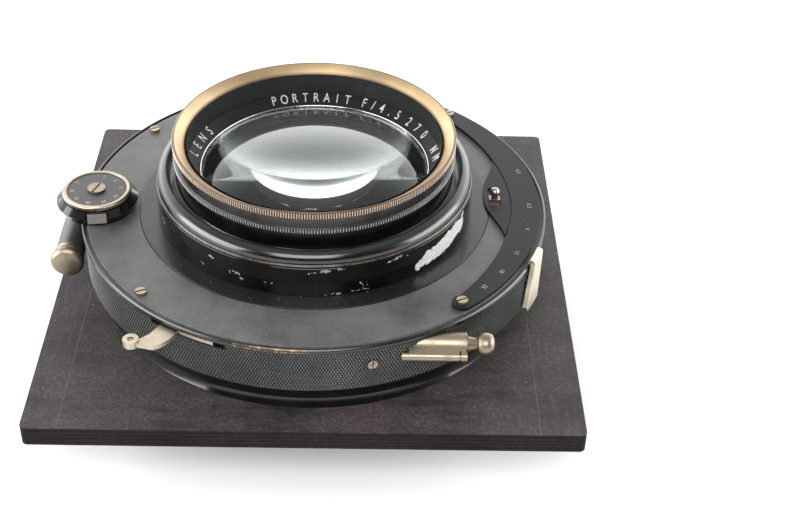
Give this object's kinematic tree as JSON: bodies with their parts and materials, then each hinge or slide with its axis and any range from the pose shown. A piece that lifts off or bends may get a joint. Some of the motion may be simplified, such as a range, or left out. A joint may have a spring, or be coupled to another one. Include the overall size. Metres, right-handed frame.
{
  "type": "portrait lens in a shutter on a lens board",
  "caption": "Large-format portrait lens in a dial-set between-lens shutter with iris, air brake, cocking and release levers, mounted on a flat wooden lens board.",
  "frame": {"origin": "lens axis in the plane of the rear rim, on which the lens stands", "axes": "+Z out of the front glass along the lens axis, -Y towards the release lever side, +X towards the aperture pointer"},
  "size_m": [0.14, 0.1384, 0.0678],
  "materials": {
    "board_wood": "satin",
    "black_enamel": "gloss",
    "black_lacquer": "semi-gloss",
    "black_matte": "matte",
    "brass_bare": "polished",
    "nickel": "worn",
    "steel": "satin",
    "blade_steel": "blued",
    "spring_steel": "satin",
    "alloy": "satin",
    "optical_glass": "polished"
  },
  "bodies": {
    "case": {"board_panel": "board_wood", "board_cleats": "board_wood", "retaining_ring": "brass_bare", "shutter_back": "black_enamel", "drum": "black_lacquer", "mid_plate": "brass_bare", "upper_plate": "brass_bare", "face_plate": "black_lacquer", "face_screws": "nickel", "side_screw": "steel", "aperture_scale": "black_lacquer", "dial_base": "black_enamel", "dial_screw": "nickel", "dial_index": "nickel", "brake_cylinder": "black_lacquer", "brake_cap": "nickel", "main_spring": "spring_steel", "release_spring": "spring_steel", "release_socket": "nickel", "front_barrel": "alloy", "front_cell": "black_enamel", "knurled_collar": "black_enamel", "front_rim": "brass_bare", "name_ring": "black_matte", "front_glass": "optical_glass", "front_inner_glass": "optical_glass", "rear_inner_glass": "optical_glass", "rear_glass": "optical_glass", "rear_cell": "black_enamel", "rear_retainer": "black_matte", "front_spacer": "black_matte", "rear_spacer": "black_matte"},
    "aperture_control": {"aperture_ring": "black_lacquer", "aperture_pointer": "black_lacquer", "pointer_knob": "brass_bare", "aperture_link": "steel", "iris_cam_ring": "brass_bare"},
    "shutter_drive": {"shutter_drive_ring": "steel"},
    "dial": {"speed_dial": "nickel", "dial_face": "black_lacquer", "speed_cam": "steel"},
    "cocking": {"cocking_ring": "steel", "cocking_lever": "nickel"},
    "piston": {"brake_piston": "brass_bare"},
    "release": {"release_lever": "nickel"},
    "button": {"release_plunger": "nickel"},
    "iris_leaf_1": {"iris_blade_1": "blade_steel"},
    "iris_leaf_2": {"iris_blade_2": "blade_steel"},
    "iris_leaf_3": {"iris_blade_3": "blade_steel"},
    "iris_leaf_4": {"iris_blade_4": "blade_steel"},
    "iris_leaf_5": {"iris_blade_5": "blade_steel"},
    "iris_leaf_6": {"iris_blade_6": "blade_steel"},
    "iris_leaf_7": {"iris_blade_7": "blade_steel"},
    "iris_leaf_8": {"iris_blade_8": "blade_steel"},
    "shutter_leaf_1": {"shutter_blade_1": "blade_steel"},
    "shutter_leaf_2": {"shutter_blade_2": "blade_steel"},
    "shutter_leaf_3": {"shutter_blade_3": "blade_steel"},
    "shutter_leaf_4": {"shutter_blade_4": "blade_steel"},
    "shutter_leaf_5": {"shutter_blade_5": "blade_steel"}
  },
  "joints": [
    {"name": "aperture_turn", "type": "hinge", "parent": "case", "child": "aperture_control", "pos_m": [0, 0, 0.045], "axis": [0, 0, 1], "range_deg": [-36, 0]},
    {"name": "shutter_turn", "type": "hinge", "parent": "case", "child": "shutter_drive", "pos_m": [0, 0, 0.0369], "axis": [0, 0, 1], "range_deg": [-14, 0]},
    {"name": "dial_turn", "type": "hinge", "parent": "case", "child": "dial", "pos_m": [-0.0587, -0.0038, 0.0495], "axis": [0, 0, 1], "range_deg": [-280, 0]},
    {"name": "cock_turn", "type": "hinge", "parent": "case", "child": "cocking", "pos_m": [0, 0, 0.0403], "axis": [0, 0, 1], "range_deg": [0, 12], "stiffness_Nm_per_rad": 0.25, "springref_deg": -17.19},
    {"name": "brake_slide", "type": "slide", "parent": "case", "child": "piston", "axis": [0, -1, 0], "range_m": [0, 0.0122]},
    {"name": "release_turn", "type": "hinge", "parent": "case", "child": "release", "pos_m": [-0.024, -0.046, 0.0432], "axis": [0, 0, 1], "range_deg": [0, 12], "stiffness_Nm_per_rad": 0.02, "springref_deg": -8.59},
    {"name": "button_push", "type": "slide", "parent": "case", "child": "button", "axis": [-1, 0, 0], "range_m": [0, 0.0021], "stiffness_N_per_m": 150, "springref_m": -0.002},
    {"name": "iris_swing_1", "type": "hinge", "parent": "case", "child": "iris_leaf_1", "pos_m": [0.0512, 0, 0.0265], "axis": [0, 0, 1], "range_deg": [0, 30]},
    {"name": "iris_swing_2", "type": "hinge", "parent": "case", "child": "iris_leaf_2", "pos_m": [0.0362, 0.0362, 0.02705], "axis": [0, 0, 1], "range_deg": [0, 30]},
    {"name": "iris_swing_3", "type": "hinge", "parent": "case", "child": "iris_leaf_3", "pos_m": [0, 0.0512, 0.0276], "axis": [0, 0, 1], "range_deg": [0, 30]},
    {"name": "iris_swing_4", "type": "hinge", "parent": "case", "child": "iris_leaf_4", "pos_m": [-0.0362, 0.0362, 0.02815], "axis": [0, 0, 1], "range_deg": [0, 30]},
    {"name": "iris_swing_5", "type": "hinge", "parent": "case", "child": "iris_leaf_5", "pos_m": [-0.0512, 0, 0.0287], "axis": [0, 0, 1], "range_deg": [0, 30]},
    {"name": "iris_swing_6", "type": "hinge", "parent": "case", "child": "iris_leaf_6", "pos_m": [-0.0362, -0.0362, 0.02925], "axis": [0, 0, 1], "range_deg": [0, 30]},
    {"name": "iris_swing_7", "type": "hinge", "parent": "case", "child": "iris_leaf_7", "pos_m": [0, -0.0512, 0.0298], "axis": [0, 0, 1], "range_deg": [0, 30]},
    {"name": "iris_swing_8", "type": "hinge", "parent": "case", "child": "iris_leaf_8", "pos_m": [0.0362, -0.0362, 0.03035], "axis": [0, 0, 1], "range_deg": [0, 30]},
    {"name": "shutter_swing_1", "type": "hinge", "parent": "case", "child": "shutter_leaf_1", "pos_m": [0.0543, 0, 0.0343], "axis": [0, 0, 1], "range_deg": [0, 35.5]},
    {"name": "shutter_swing_2", "type": "hinge", "parent": "case", "child": "shutter_leaf_2", "pos_m": [0.01678, 0.05164, 0.03475], "axis": [0, 0, 1], "range_deg": [0, 35.5]},
    {"name": "shutter_swing_3", "type": "hinge", "parent": "case", "child": "shutter_leaf_3", "pos_m": [-0.04393, 0.03192, 0.0352], "axis": [0, 0, 1], "range_deg": [0, 35.5]},
    {"name": "shutter_swing_4", "type": "hinge", "parent": "case", "child": "shutter_leaf_4", "pos_m": [-0.04393, -0.03192, 0.03565], "axis": [0, 0, 1], "range_deg": [0, 35.5]},
    {"name": "shutter_swing_5", "type": "hinge", "parent": "case", "child": "shutter_leaf_5", "pos_m": [0.01678, -0.05164, 0.0361], "axis": [0, 0, 1], "range_deg": [0, 35.5]}
  ],
  "couplings": [
    {"joint": "iris_swing_1", "follows": "aperture_turn", "ratio": -0.83333},
    {"joint": "iris_swing_2", "follows": "aperture_turn", "ratio": -0.83333},
    {"joint": "iris_swing_3", "follows": "aperture_turn", "ratio": -0.83333},
    {"joint": "iris_swing_4", "follows": "aperture_turn", "ratio": -0.83333},
    {"joint": "iris_swing_5", "follows": "aperture_turn", "ratio": -0.83333},
    {"joint": "iris_swing_6", "follows": "aperture_turn", "ratio": -0.83333},
    {"joint": "iris_swing_7", "follows": "aperture_turn", "ratio": -0.83333},
    {"joint": "iris_swing_8", "follows": "aperture_turn", "ratio": -0.83333},
    {"joint": "shutter_swing_1", "follows": "shutter_turn", "ratio": -2.5357},
    {"joint": "shutter_swing_2", "follows": "shutter_turn", "ratio": -2.5357},
    {"joint": "shutter_swing_3", "follows": "shutter_turn", "ratio": -2.5357},
    {"joint": "shutter_swing_4", "follows": "shutter_turn", "ratio": -2.5357},
    {"joint": "shutter_swing_5", "follows": "shutter_turn", "ratio": -2.5357},
    {"joint": "brake_slide", "follows": "cock_turn", "m_per_rad": 0.057993}
  ]
}
